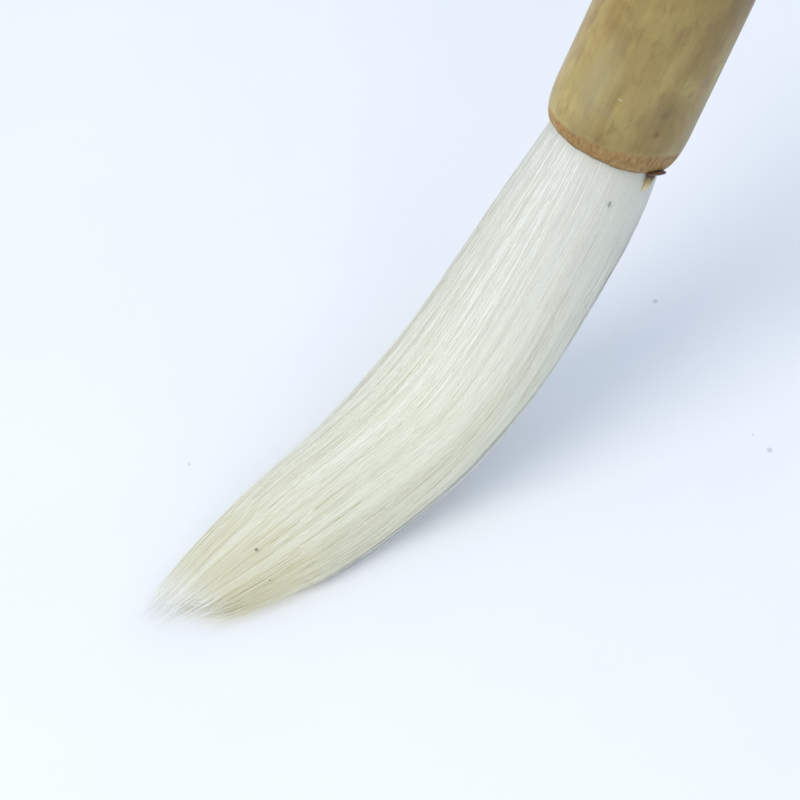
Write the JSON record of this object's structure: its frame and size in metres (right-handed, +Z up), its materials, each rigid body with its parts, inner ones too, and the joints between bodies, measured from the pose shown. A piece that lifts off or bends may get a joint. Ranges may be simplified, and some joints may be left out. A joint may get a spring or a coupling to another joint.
{
  "type": "calligraphy brush",
  "caption": "Bamboo-handled calligraphy brush with a long soft goat-hair tuft, its tip bent over as it presses on a table.",
  "frame": {"origin": "on the handle's axis where a hand holds it, 80 mm up the axis from the centre of the mouth", "axes": "+Z up from the table; the brush lies in the XZ plane, its handle leaning 30 degrees from the vertical towards +X and its tip pointing along -X"},
  "size_m": [0.1594, 0.0135, 0.2084],
  "materials": {
    "bamboo": "satin natural bamboo skin, olive tan with darker stains",
    "horn": "polished dark horn",
    "hair": "long white goat hair, beige towards the tip",
    "hair_lining": "cream goat hair",
    "hair_core": "yellowish goat hair",
    "glue": "dried amber-brown glue",
    "rosin": "melted rosin",
    "thread": "waxed cotton thread"
  },
  "bodies": {
    "handle": {"bamboo_handle": "bamboo", "tail_plug": "horn", "socket_glue": "glue", "glue_drip": "glue", "rosin_seal": "rosin", "binding_thread": "thread", "mantle_root": "hair", "lining_root": "hair_lining", "core_root": "hair_core"},
    "tuft": {"tuft_mantle": "hair", "tuft_lining": "hair_lining", "tuft_core": "hair_core"}
  },
  "joints": [
    {"name": "tuft_bend", "type": "hinge", "parent": "handle", "child": "tuft", "pos_m": [-0.04, 0, -0.06928], "axis": [0, 1, 0], "range_deg": [-34, 14], "stiffness_Nm_per_rad": 0.012, "springref_deg": -34}
  ]
}
